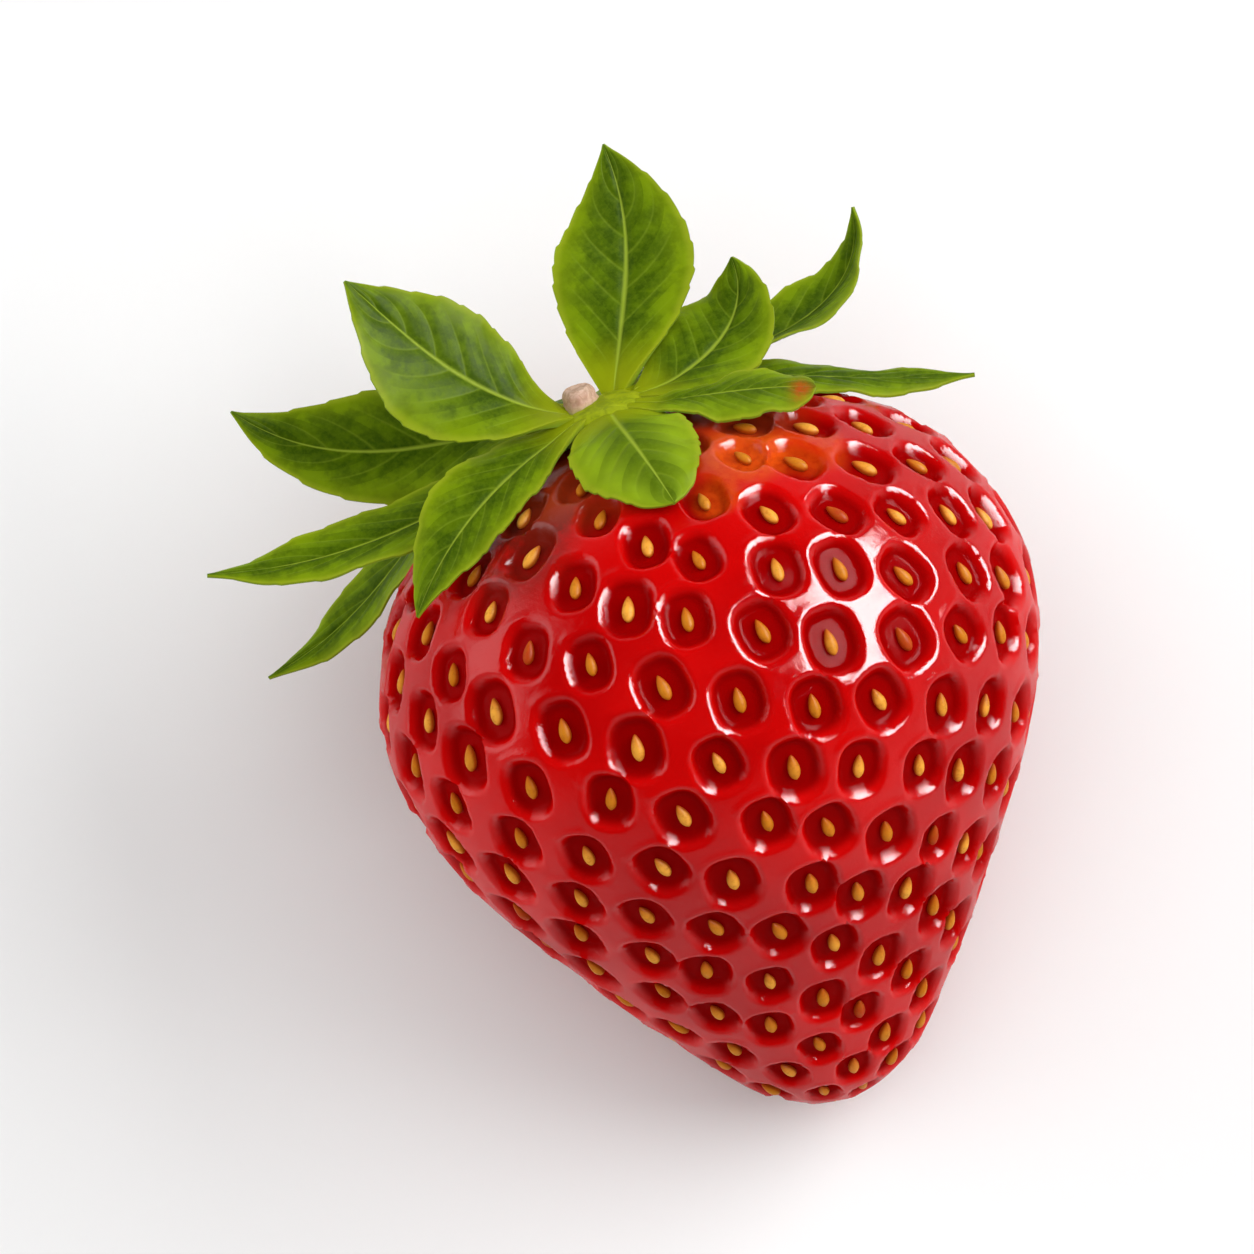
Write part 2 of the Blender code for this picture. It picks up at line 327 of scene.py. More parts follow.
OUTLINE = smooth_outline(BERRY_OUTLINE, 40)
DEPTHS = OUTLINE[:, 0] * BERRY_LENGTH
RADII = np.maximum(OUTLINE[:, 1], 0) * BERRY_RADIUS
STRETCHES = np.hypot(np.diff(DEPTHS), np.diff(RADII))
WALKED = np.concatenate([[0], np.cumsum(STRETCHES)])  # along the outline, from the calyx
BANDS = STRETCHES * math.pi * (RADII[1:] + RADII[:-1])
AREA = np.concatenate([[0], np.cumsum(BANDS)])  # of the surface above each point of the outline


def on_berry(walked, angle):
    """Points of the smooth berry, at distances along its outline and angles round its axis."""
    bulges = sum(size * np.cos(count * (angle - turn)) for count, size, turn in BERRY_BULGES)
    radius = np.interp(walked, WALKED, RADII) * (1 + bulges)
    depth = np.interp(walked, WALKED, DEPTHS)
    return np.stack([radius * np.cos(angle), radius * np.sin(angle) * BERRY_FLATNESS, -depth], -1)


def berry_directions(walked, angle):
    """(down the outline, round the axis, outward) at points of the smooth berry, as unit vectors."""
    step = 0.05 * MM
    down = unit(on_berry(walked + step, angle) - on_berry(walked - step, angle))
    turn = 0.002
    around = unit(on_berry(walked, angle + turn) - on_berry(walked, angle - turn))
    outward = unit(np.cross(down, around))
    return down, around, outward


def lay_matrix():
    """Where the CAD puts the berry's frame."""
    tilt = Matrix.Rotation(REST_TILT - math.pi / 2, 4, "X")
    coarse = smooth_outline(BERRY_OUTLINE, 4)
    walked = np.interp(coarse[:, 0] * BERRY_LENGTH, DEPTHS, WALKED)
    bottom = on_berry(walked, np.full(len(walked), math.pi / 2))
    lowest = min((tilt @ Vector(p) for p in bottom), key=lambda point: point.z)
    return Matrix.Translation((0, -lowest.y, -lowest.z - REST_FLATTENING)) @ tilt


LAID = lay_matrix()
CALYX_MIDDLE = Vector((CALYX_SHIFT, 0, 0))


def laid_down(points):
    """Points of the berry's frame in the row frame, with whatever would be below the ground pressed flat."""
    laid = points @ np.array(LAID.to_3x3()).T + np.array(LAID.translation)
    laid[:, 2] = np.maximum(laid[:, 2], 0)
    return laid


# ---- The seeds' places -----------------------------------------------------------------------------
class Seeds:
    """Where each seed is on the berry: they follow each other by the golden angle, as on the plant."""

    def __init__(self):
        share, spacing = np.array(SEED_SPACING).T
        spacing_here = np.interp(OUTLINE[:, 0], share, spacing) * MM
        per_band = BANDS / ((spacing_here[1:] + spacing_here[:-1]) / 2) ** 2
        shoulder = np.argmax(RADII)
        started = np.interp(FIRST_SEED_RADIUS, RADII[:shoulder], np.arange(shoulder))
        per_band[: int(started)] = 0
        counted = np.concatenate([[0], np.cumsum(per_band)])
        rank = np.arange(int(counted[-1])) + 0.5
        self.count = len(rank)
        noise = np.random.default_rng(7)
        self.walked = np.interp(rank, counted, WALKED)
        self.angle = -rank * GOLDEN_ANGLE
        self.spacing = np.interp(self.walked, WALKED, spacing_here)
        wander = SEED_WANDER * self.spacing
        self.walked = self.walked + noise.normal(size=self.count) * wander
        radius = np.interp(self.walked, WALKED, RADII)
        self.angle = self.angle + noise.normal(size=self.count) * wander / np.maximum(radius, 2 * MM)
        self.place = on_berry(self.walked, self.angle)
        down, around, self.outward = berry_directions(self.walked, self.angle)
        twist = noise.normal(size=(self.count, 1)) * SEED_TWIST
        self.down = down * np.cos(twist) + around * np.sin(twist)
        self.around = np.cross(self.outward, self.down)
        self.size = 1 + noise.uniform(-SEED_SIZE_SPREAD, SEED_SIZE_SPREAD, self.count)
        depth_share = 1 + noise.uniform(-PIT_DEPTH_SPREAD, PIT_DEPTH_SPREAD, self.count)
        self.depth = PIT_DEPTH * self.spacing * depth_share
        self.tone = noise.uniform(0, 1, self.count)


# ---- The skin --------------------------------------------------------------------------------------
def geodesic_sphere(divisions):
    """Unit vectors and triangles of an icosahedron's faces, each divided into small triangles."""
    golden = (1 + 5**0.5) / 2
    corners = unit(
        np.array(
            [(-1, golden, 0), (1, golden, 0), (-1, -golden, 0), (1, -golden, 0)]
            + [(0, -1, golden), (0, 1, golden), (0, -1, -golden), (0, 1, -golden)]
            + [(golden, 0, -1), (golden, 0, 1), (-golden, 0, -1), (-golden, 0, 1)]
        )
    )
    sides = (
        [(0, 11, 5), (0, 5, 1), (0, 1, 7), (0, 7, 10), (0, 10, 11)]
        + [(1, 5, 9), (5, 11, 4), (11, 10, 2), (10, 7, 6), (7, 1, 8)]
        + [(3, 9, 4), (3, 4, 2), (3, 2, 6), (3, 6, 8), (3, 8, 9)]
        + [(4, 9, 5), (2, 4, 11), (6, 2, 10), (8, 6, 7), (9, 8, 1)]
    )
    steps = [(i, j) for i in range(divisions + 1) for j in range(divisions + 1 - i)]
    number = {step: k for k, step in enumerate(steps)}
    share = np.array([(divisions - i - j, i, j) for i, j in steps]) / divisions
    small = [(number[i, j], number[i + 1, j], number[i, j + 1]) for i, j in steps if i + j < divisions]
    small += [
        (number[i + 1, j], number[i + 1, j + 1], number[i, j + 1])
        for i, j in steps
        if i + j < divisions - 1
    ]
    points = np.concatenate([unit(share @ corners[list(side)]) for side in sides])
    triangles = np.concatenate([np.array(small) + k * len(steps) for k in range(len(sides))])
    _, first, back = np.unique(points.round(6), axis=0, return_index=True, return_inverse=True)
    return points[first], back.reshape(-1)[triangles]


def pit_shape(points, seeds):
    """(how far each point of the smooth berry sinks, how deep in a pit it is from 0 to 1)."""
    sunk = np.zeros(len(points))
    inside = np.zeros(len(points))
    half_length = seeds.spacing * seeds.size * PIT_LENGTH / 2
    half_width = seeds.spacing * seeds.size * PIT_WIDTH / 2
    for k in range(seeds.count):
        near = np.nonzero(np.sum((points - seeds.place[k]) ** 2, 1) < (1.2 * seeds.spacing[k]) ** 2)[0]
        offset = points[near] - seeds.place[k]
        along = np.abs(offset @ seeds.down[k]) / half_length[k]
        across = np.abs(offset @ seeds.around[k]) / half_width[k]
        from_seed = (along**PIT_CORNERS + across**PIT_CORNERS) ** (1 / PIT_CORNERS)
        depth = 1 - smoothstep(from_seed, PIT_FLOOR, 1.0)
        lip = np.exp(-(((from_seed - LIP_PLACE) / LIP_WIDTH) ** 2)) * LIP_HEIGHT * seeds.spacing[k]
        sunk[near] = np.maximum(sunk[near], depth * seeds.depth[k]) - lip * (depth < 0.5)
        inside[near] = np.maximum(inside[near], depth)
    return sunk, inside


def patch(points, place_mm, radius_mm, strength):
    """A soft-edged round patch on the skin, from strength in its middle to 0 outside it."""
    distance = np.linalg.norm(points - np.array(place_mm) * MM, axis=1)
    return strength * (1 - smoothstep(distance, 0.45 * radius_mm * MM, radius_mm * MM))


def make_skin(seeds):
    directions, triangles = geodesic_sphere(SKIN_DIVISIONS)
    area_above = (1 - directions[:, 2]) / 2 * AREA[-1]
    walked = np.interp(area_above, AREA, WALKED)
    angle = np.arctan2(directions[:, 1], directions[:, 0])
    smooth = on_berry(walked, angle)
    _, _, outward = berry_directions(np.clip(walked, 0.1 * MM, WALKED[-1] - 0.1 * MM), angle)
    sunk, inside = pit_shape(smooth, seeds)
    patches = {
        "pale": sum(patch(smooth, *place) for place in PALE_PATCHES),
        # painted shadow under the leaves, partly brownish skin
        "brown_and_shadow": sum(patch(smooth, *place) for place in SHADOW_AND_BROWN_PATCHES),
    }
    return add_mesh(
        "berry_skin",
        laid_down(smooth - outward * sunk[:, None]),
        triangles,
        {"pit": inside, "down_berry": -smooth[:, 2] / BERRY_LENGTH, **patches},
    )


def seed_body():
    """A unit teardrop along X, pointed at -X, with a low ridge on its upper side: (points, faces)."""
    along = np.linspace(0, math.pi, SEED_ROWS)[1:-1]
    around = np.linspace(0, 2 * math.pi, SEED_COLUMNS, endpoint=False)
    swell = np.sin(along) ** 1.25 * (1 - 0.30 * np.cos(along))
    rings = [
        np.stack([np.full(SEED_COLUMNS, -math.cos(a)), s * np.cos(around), s * np.sin(around)], -1) / 2
        for a, s in zip(along, swell)
    ]
    points = np.concatenate([[(-0.5, 0, 0)], *rings, [(0.5, 0, 0)]])
    points[:, 2] += 0.06 * np.exp(-((points[:, 1] / 0.12) ** 2)) * (points[:, 2] > 0)
    last = len(points) - 1
    faces = []
    for column in range(SEED_COLUMNS):
        following = (column + 1) % SEED_COLUMNS
        faces.append((0, 1 + following, 1 + column))
        faces.append((last, last - SEED_COLUMNS + column, last - SEED_COLUMNS + following))
        for row in range(len(rings) - 1):
            near, far = 1 + row * SEED_COLUMNS, 1 + (row + 1) * SEED_COLUMNS
            faces.append((near + column, near + following, far + following, far + column))
    return points, faces


def make_seeds(seeds):
    """Every seed, as a small teardrop that is pointed towards the calyx, in one mesh."""
    body, body_faces = seed_body()
    points, faces = [], []
    for k in range(seeds.count):
        # Where the seeds are close together, near the tip, they are smaller too.
        size = seeds.size[k] * min(1.0, 0.55 + 0.1 * seeds.spacing[k] / MM)
        scaled = body * np.array([SEED_LENGTH, SEED_WIDTH, SEED_HEIGHT]) * size
        middle = seeds.place[k] - seeds.outward[k] * (seeds.depth[k] - SEED_LIFT)
        axes = np.stack([seeds.down[k], seeds.around[k], seeds.outward[k]])
        points.append(middle + scaled @ axes)
        faces += [tuple(i + k * len(body) for i in face) for face in body_faces]
    return add_mesh(
        "berry_seeds",
        laid_down(np.concatenate(points)),
        faces,
        {
            "seed_tone": np.repeat(seeds.tone, len(body)),
            "seed_along": np.tile(body[:, 0] + 0.5, seeds.count),
            "seed_side": np.tile(1 - np.clip(body[:, 2] * 2, 0, 1), seeds.count),
        },
    )


# ---- The leaves ------------------------------------------------------------------------------------
def leaf_width(along, leaf):
    """The leaf's width in mm at a share of its length: a stout neck, a full middle and a drawn-out tip."""
    widens, narrows = leaf.shape
    fullest = widens / (widens + narrows)
    most = fullest**widens * (1 - fullest) ** narrows
    blade = leaf.width * along**widens * (1 - along) ** narrows / most
    return blade + NECK_WIDTH_MM * (1 - along) ** 7 + TIP_WIDTH_MM


def midrib_frames(leaf, level, rows):
    """(points, sideways, upwards) along a leaf that leaves the hub at this height."""
    azimuth = math.radians(leaf.azimuth)
    rise = math.radians(leaf.rise)
    outward = Vector((math.cos(azimuth), math.sin(azimuth), 0))
    start = outward * math.cos(rise) + Vector((0, 0, math.sin(rise)))
    end = Vector(leaf.end).normalized()
    cad_base = outward * (DISC_RADIUS + GAP) + Vector((0, 0, level))
    tip = Vector(leaf.tip) * MM
    reach = (tip - cad_base).length * MIDRIB_REACH
    base = outward * NECK_RADIUS + Vector((0, 0, level))
    points = interpolate_bezier(base, base + start * reach, tip - end * reach, tip, rows)
    sideways, upwards = [], []
    for row in range(rows):
        ahead = points[min(row + 1, rows - 1)] - points[max(row - 1, 0)]
        turned = min(1.0, row / (rows - 1) / leaf.turn)
        upward = Vector((0, 0, 1)).lerp(Vector(leaf.facing), turned)
        upward -= ahead * upward.dot(ahead) / ahead.length_squared
        upward.normalize()
        upwards.append(upward)
        sideways.append(upward.cross(ahead).normalized())
    return np.array(points), np.array(sideways), np.array(upwards)


def blade_share(along):
    """1 on the blade, and 0 on the neck and at the very tip."""
    return smoothstep(along, 0.10, 0.3) * (1 - smoothstep(along, 0.86, 1.0))


def edge_reach(leaf, along, across, noise):
    """How far it is from the midrib to the toothed edge."""
    teeth = FEWEST_TEETH + noise.integers(0, 3)
    right_phase, left_phase = noise.uniform(0, 1, 2)
    lopsided = 1 + LOPSIDEDNESS * noise.normal() * np.sign(across)
    tooth = (along * teeth + np.where(across < 0, right_phase, left_phase)) % 1
    toothed = blade_share(along) * smoothstep(np.abs(across), 0.8, 1)
    return leaf_width(along, leaf) * MM / 2 * lopsided + TOOTH_HEIGHT * tooth * toothed


def leaf_rise(leaf, along, across, offset, noise):
    """How far the blade rises from its midrib: folded, drooping, and wavy towards its edges."""
    fold = math.radians(leaf.fold)
    folded = (np.sqrt(offset**2 + FOLD_SOFTNESS**2) - FOLD_SOFTNESS) * math.sin(fold)
    right_phase, left_phase, ripple_phase = noise.uniform(0, 2 * math.pi, 3)
    side_phase = np.where(across < 0, right_phase, left_phase)
    wave = WAVE_HEIGHT * np.sin(2 * math.pi * WAVES * along + side_phase)
    wave += RIPPLE_HEIGHT * np.sin(2 * math.pi * RIPPLES * along + ripple_phase)
    return folded + wave * across**2 * blade_share(along) - DROOP_MM * offset**2 / MM


def vein_position(leaf, along, across):
    """Counts the side veins along the leaf: each is halfway between whole numbers and bends forwards.

    Those on the right half come between those on the left.
    """
    count = ROUND_LEAF_VEINS if leaf.shape == ROUND else SIDE_VEINS
    return (along - VEIN_SLANT * np.abs(across) ** 1.25) * count + 0.5 * (across < 0)


def vein_strength(veins, across):
    """1 on the midrib and the side veins, and 0 in the fields between them."""
    side = np.abs(across)
    side_vein = 1 - smoothstep(np.abs(veins % 1 - 0.5), 0.0, 0.22)
    return np.maximum(side_vein * (1 - side**3), 1 - smoothstep(side, 0.0, 0.12))


def leaf_sides(along, across, offset, veins):
    """How far the upper and the under side are above the blade's middle."""
    side = np.abs(across)
    quilted = QUILTING * (1 - vein_strength(veins, across)) * blade_share(along) * (1 - side**4)
    groove = GROOVE_DEPTH * np.exp(-((offset / GROOVE_WIDTH) ** 2)) * (1 - along)
    rib = RIB_HEIGHT * np.exp(-((offset / RIB_WIDTH) ** 2)) * (1 - along)
    neck = 1 - smoothstep(along, 0.0, 0.2)
    thickness = LEAF_THICKNESS - EDGE_THINNING * side**3 + NECK_THICKENING * neck
    return thickness / 2 + quilted - groove, -thickness / 2 + quilted * 0.6 - rib


def shell_faces(rows, columns):
    """The faces of a closed sheet: its upper points' grid, its lower points' grid and the rim between."""
    count = rows * columns
    ring = (
        [(0, column) for column in range(columns)]
        + [(row, columns - 1) for row in range(1, rows)]
        + [(rows - 1, column) for column in range(columns - 2, -1, -1)]
        + [(row, 0) for row in range(rows - 2, 0, -1)]
    )
    rim = [row * columns + column for row, column in ring]
    faces = [*grid_faces(rows, columns, flip=True)]
    faces += [*grid_faces(rows, columns, start=count)]
    return faces + [(b, a, a + count, b + count) for a, b in zip(rim, rim[1:] + rim[:1])]


def make_leaf(leaf, level, seed):
    """A thin closed leaf with a toothed edge, a sunken midrib and side veins, and a gently wavy blade."""
    noise = np.random.default_rng(seed)
    points, sideways, upwards = midrib_frames(leaf, level, LEAF_ROWS)
    along = np.linspace(0, 1, LEAF_ROWS)[:, None]
    across = np.linspace(-1, 1, LEAF_COLUMNS)[None, :]
    across = across * (0.75 + 0.25 * np.abs(across))  # finer towards the midrib
    offset = across * edge_reach(leaf, along, across, noise)
    rise = leaf_rise(leaf, along, across, offset, noise)
    veins = vein_position(leaf, along, across)
    level_offset = offset * math.cos(math.radians(leaf.fold))
    middle = points[:, None, :] + sideways[:, None, :] * level_offset[..., None]
    sides = [
        middle + upwards[:, None, :] * (rise + side)[..., None]
        for side in leaf_sides(along, across, offset, veins)
    ]
    grid = (LEAF_ROWS, LEAF_COLUMNS)
    count = LEAF_ROWS * LEAF_COLUMNS
    mark = leaf.mark * np.exp(-(((along - 0.93) / 0.05) ** 2) - ((across + 0.2) / 0.6) ** 2)
    return add_mesh(
        "leaf_" + leaf.name,
        laid_down(np.concatenate(sides).reshape(-1, 3) + np.array(CALYX_MIDDLE)),
        shell_faces(LEAF_ROWS, LEAF_COLUMNS),
        {
            "leaf_along": np.tile(np.broadcast_to(along, grid).reshape(-1), 2),
            "leaf_across": np.tile(np.broadcast_to(across, grid).reshape(-1), 2),
            "leaf_top": np.repeat([1.0, 0.0], count),
            "leaf_paleness": np.full(2 * count, leaf.paleness),
            "leaf_mark": np.tile(mark.reshape(-1), 2),
            "leaf_vein": np.tile(veins.reshape(-1), 2),
        },
    )


# ---- The calyx's disc and the stem's stub ----------------------------------------------------------
def make_turned(name, outline, sides, lumps, middle, seed):
    """A turned, slightly lumpy solid.

    outline is (radius, height) from the middle of its top to the middle of its bottom, and lumps are
    (lumps round the axis, share of the radius).
    """
    noise = np.random.default_rng(seed)
    phases = noise.uniform(0, 2 * math.pi, len(lumps))
    angle = np.linspace(0, 2 * math.pi, sides, endpoint=False)
    swell = 1 + sum(size * np.cos(count * angle + phase) for (count, size), phase in zip(lumps, phases))
    rings = [
        np.stack([r * swell * np.cos(angle), r * swell * np.sin(angle), np.full(sides, z)], -1)
        for r, z in outline[1:-1]
    ]
    points = np.concatenate([[(0, 0, outline[0][1])], *rings, [(0, 0, outline[-1][1])]])
    last = len(points) - 1
    faces = []
    for side in range(sides):
        following = (side + 1) % sides
        faces.append((0, 1 + side, 1 + following))
        faces.append((last, last - sides + following, last - sides + side))
        for row in range(len(rings) - 1):
            near, far = 1 + row * sides, 1 + (row + 1) * sides
            faces.append((near + side, far + side, far + following, near + following))
    height = points[:, 2]
    radius = np.hypot(points[:, 0], points[:, 1])
    return add_mesh(
        name,
        laid_down(points + np.array(middle)),
        faces,
        {"from_axis": radius / radius.max(), "up": (height - height.min()) / np.ptp(height)},
    )


def smooth_turned_outline(points_mm, steps=6):
    """A smooth outline in metres, from (radius, height) points in mm that start and end on the axis."""
    flipped = [(z, r) for r, z in points_mm]
    return [(max(r, 0) * MM, z * MM) for z, r in smooth_outline(flipped, steps)]


def make_disc():
    """The lumpy base of the calyx, which the leaves grow out of."""
    half = ((0, 1.15), (1.4, 1.1), (2.6, 0.75), (DISC_RADIUS / MM, 0.1), (2.7, -0.7), (0, -1.0))
    outline = smooth_turned_outline(half)
    return make_turned("calyx_hub", outline, 64, ((5, 0.05), (13, 0.02)), CALYX_MIDDLE, 3)


def make_stub():
    """The stub of the stem, with a sunken end and a foot that spreads onto the base of the calyx."""
    low, high = STUB_BOTTOM / MM, STUB_TOP / MM
    radius = STUB_RADIUS / MM
    outline = smooth_turned_outline(
        (
            (0, high - 0.08),
            (radius * 0.4, high - 0.12),
            (radius * 0.72, high),
            (radius * 0.98, high - 0.4),
            (radius * 1.02, (low + high) / 2),
            (radius * 1.25, low),
            (0, low - 0.1),
        )
    )
    middle = CALYX_MIDDLE + Vector((*STUB_PLACE, 0))
    return make_turned("stem_end", outline, 48, ((3, 0.05), (11, 0.025)), middle, 5)


# ---- Materials -------------------------------------------------------------------------------------
class Nodes:
    """Builds a Principled material. The functions that add a node give its output, ready to link."""

    def __init__(self, name):
        self.material = bpy.data.materials.new(name)
        self.material.use_nodes = True
        self.tree = self.material.node_tree
        self.shader = self.tree.nodes["Principled BSDF"]

    def put(self, socket, value):
        """Sets one of the shader's sockets to a number or a colour, or links it."""
        if isinstance(value, bpy.types.NodeSocket):
            self.tree.links.new(value, self.shader.inputs[socket])
        else:
            self.shader.inputs[socket].default_value = value

    def node(self, kind, **settings):
        node = self.tree.nodes.new(kind)
        for key, value in settings.items():
            setattr(node, key, value)
        return node

    def feed(self, socket, value):
        """Sets a node's socket to a number or a colour, or links it."""
        if isinstance(value, bpy.types.NodeSocket):
            self.tree.links.new(value, socket)
        else:
            socket.default_value = value

    def attribute(self, name):
        return self.node("ShaderNodeAttribute", attribute_name=name).outputs["Fac"]

    def place(self):
        return self.node("ShaderNodeTexCoord").outputs["Object"]

    def noise(self, per_mm, detail=3.0, roughness=0.5, distortion=0.0):
        node = self.node("ShaderNodeTexNoise")
        self.tree.links.new(self.place(), node.inputs["Vector"])
        node.inputs["Scale"].default_value = per_mm / MM
        node.inputs["Detail"].default_value = detail
        node.inputs["Roughness"].default_value = roughness
        node.inputs["Distortion"].default_value = distortion
        return node.outputs["Fac"]

    def math(self, operation, first, second=0.0):
        node = self.node("ShaderNodeMath", operation=operation)
        self.feed(node.inputs[0], first)
        self.feed(node.inputs[1], second)
        return node.outputs[0]

    def ramp(self, value, low, high, start=0.0, end=1.0):
        """Goes smoothly from start to end as value goes from low to high."""
        node = self.node("ShaderNodeMapRange", interpolation_type="SMOOTHSTEP")
        for socket, number in zip(node.inputs, (value, low, high, start, end)):
            self.feed(socket, number)
        return node.outputs[0]

    def mix(self, share, first, second):
        node = self.node("ShaderNodeMix", data_type="RGBA")
        self.feed(node.inputs["Factor"], share)
        for socket, colour in ((node.inputs[6], first), (node.inputs[7], second)):
            self.feed(socket, colour if isinstance(colour, bpy.types.NodeSocket) else (*colour, 1.0))
        return node.outputs[2]

    def soft(self, weight, radius, scale_mm):
        """Lets light through under the surface, farthest for the colour with the largest radius."""
        self.put("Subsurface Weight", weight)
        self.put("Subsurface Radius", radius)
        self.put("Subsurface Scale", scale_mm * MM)

    def bump(self, height, strength, distance_mm):
        node = self.node("ShaderNodeBump")
        node.inputs["Strength"].default_value = strength
        node.inputs["Distance"].default_value = distance_mm * MM
        self.tree.links.new(height, node.inputs["Height"])
        self.put("Normal", node.outputs["Normal"])
        self.put("Coat Normal", node.outputs["Normal"])


def skin_material():
    m = Nodes("ripe_berry_skin")
    pit = m.attribute("pit")
    clouds = m.noise(0.09, 2.0)
    flecks = m.noise(1.6, 4.0, 0.6)
    # Painted shadow under the leaves, partly brownish skin, broken up by the flecks.
    brown_and_shadow = m.math("MULTIPLY", m.attribute("brown_and_shadow"), m.ramp(flecks, 0.3, 0.6, 0.6, 0.9))
    pale = m.math("MULTIPLY", m.attribute("pale"), m.ramp(flecks, 0.25, 0.6, 0.5, 1.0))
    red = m.mix(m.ramp(clouds, 0.35, 0.65), DEEP_RED, BRIGHT_RED)
    # Painted shade: the skin is darker red the deeper it lies in a pit.
    red = m.mix(m.ramp(pit, 0.2, 0.9, 0.0, 0.85), red, PIT_SHADE_RED)
    red = m.mix(m.ramp(flecks, 0.62, 0.80, 0.0, 0.12), red, FLECK_RED)
    red = m.mix(brown_and_shadow, red, SHADOW_AND_BROWN_RED)
    red = m.mix(pale, red, SKIN_ORANGE)
    red = m.mix(m.ramp(m.attribute("down_berry"), 0.075, 0.03, 0.0, 0.5), red, SHOULDER_ORANGE)
    m.put("Base Color", red)
    m.put("Roughness", m.ramp(flecks, 0.3, 0.8, 0.24, 0.36))
    m.put("Specular IOR Level", 0.0)
    m.soft(0.12, (1.0, 0.16, 0.08), 1.6)
    m.put("Coat Weight", m.ramp(pit, 0.15, 0.85, 0.5, 0.03))
    m.put("Coat Roughness", 0.06)
    m.put("Coat IOR", 1.5)
    grain = m.math("ADD", m.noise(4.5, 4.0, 0.6), m.math("MULTIPLY", m.noise(0.7, 2.0), 1.2))
    m.bump(grain, 0.5, 0.04)
    return m.material


def seed_material():
    m = Nodes("strawberry_seed")
    tone = m.attribute("seed_tone")
    colour = m.mix(m.ramp(tone, 0.2, 0.9), SEED_GOLD, SEED_YELLOW)
    colour = m.mix(m.ramp(tone, 0.86, 0.95), colour, SEED_RUST)
    colour = m.mix(m.ramp(m.attribute("seed_along"), 0.55, 0.0, 0.0, 0.7), colour, SEED_POINT)
    colour = m.mix(m.ramp(m.noise(2.5, 4.0, 0.65), 0.45, 0.7, 0.0, 0.45), colour, SEED_GRAIN)
    colour = m.mix(m.ramp(m.attribute("seed_side"), 0.35, 0.95, 0.0, 0.8), colour, SEED_FOOT)
    m.put("Base Color", colour)
    m.put("Roughness", m.ramp(m.noise(4.0), 0.3, 0.7, 0.32, 0.5))
    m.soft(0.1, (1.0, 0.4, 0.15), 0.4)
    m.put("Specular IOR Level", 0.05)
    m.bump(m.noise(5.0, 3.0), 0.5, 0.04)
    return m.material


def leaf_material():
    m = Nodes("calyx_leaf")
    along = m.attribute("leaf_along")
    side = m.math("ABSOLUTE", m.attribute("leaf_across"))
    field = m.math("FRACT", m.attribute("leaf_vein"))  # 0.5 on each side vein

    from_vein = m.math("ABSOLUTE", m.math("SUBTRACT", field, 0.5))
    side_vein = m.ramp(from_vein, 0.0, 0.085, 1.0, 0.0)
    side_vein = m.math("MULTIPLY", side_vein, m.ramp(side, 0.45, 0.95, 0.75, 0.0))
    side_vein = m.math("MULTIPLY", side_vein, m.ramp(along, 0.08, 0.2))
    midrib = m.ramp(side, m.ramp(along, 0.1, 0.9, 0.07, 0.035), 0.0)
    vein = m.math("MAXIMUM", midrib, side_vein)

    grain = m.noise(3.0, 5.0, 0.65)
    # Painted shade: in each field between side veins, darkest halfway between them and fading out at the
    # next vein, as if the quilting shaded it.
    shade = m.math("MULTIPLY", m.ramp(field, 0.5, 0.0), m.ramp(side, 0.95, 0.7))
    mark = m.math("MULTIPLY", m.attribute("leaf_mark"), m.ramp(grain, 0.3, 0.55, 0.3, 1.0))
    green = m.mix(m.ramp(m.noise(0.5, 4.0, 0.6), 0.40, 0.62), LEAF_DARK, LEAF_LIGHT)
    green = m.mix(m.math("MULTIPLY", m.attribute("leaf_paleness"), 0.75), green, LEAF_PALE)
    green = m.mix(m.ramp(side, 0.8, 0.1, 0.0, 0.65), green, LEAF_MIDDLE)
    green = m.mix(m.math("MULTIPLY", shade, 0.32), green, LEAF_SHADE)
    green = m.mix(m.ramp(side, 0.5, 1.0, 0.0, 0.6), green, LEAF_OUTER)
    green = m.mix(m.ramp(grain, 0.35, 0.75, 0.0, 0.22), green, LEAF_GRAIN)
    green = m.mix(m.ramp(along, 0.28, 0.04, 0.0, 0.9), green, LEAF_NECK)
    green = m.mix(m.ramp(side, 0.86, 0.98, 0.0, 0.45), green, LEAF_MARGIN)
    green = m.mix(m.math("MULTIPLY", vein, 0.35), green, SIDE_VEIN)
    green = m.mix(m.math("MULTIPLY", midrib, 0.6), green, MIDRIB)
    green = m.mix(mark, green, LEAF_MARK)
    below = m.mix(m.math("MULTIPLY", vein, 0.6), LEAF_BELOW, VEIN_BELOW)

    m.put("Base Color", m.mix(m.attribute("leaf_top"), below, green))
    m.put("Roughness", m.ramp(grain, 0.3, 0.7, 0.36, 0.52))
    m.put("Specular IOR Level", 0.02)
    m.soft(0.1, (0.6, 1.0, 0.15), 0.8)
    m.bump(m.math("SUBTRACT", m.math("MULTIPLY", grain, 0.5), vein), 0.4, 0.06)
    return m.material


def hub_material():
    m = Nodes("calyx_base")
    fibres = m.noise(1.2, 4.0, 0.6, 0.5)
    green = m.mix(m.ramp(fibres, 0.35, 0.65), HUB_GREEN, HUB_YELLOW)
    green = m.mix(m.ramp(m.attribute("up"), 0.9, 0.2, 0.0, 0.7), green, HUB_BELOW)
    m.put("Base Color", green)
    m.put("Roughness", m.ramp(fibres, 0.3, 0.7, 0.42, 0.6))
    m.put("Specular IOR Level", 0.05)
    m.soft(0.15, (0.8, 1.0, 0.2), 0.8)
    m.bump(fibres, 0.5, 0.12)
    return m.material


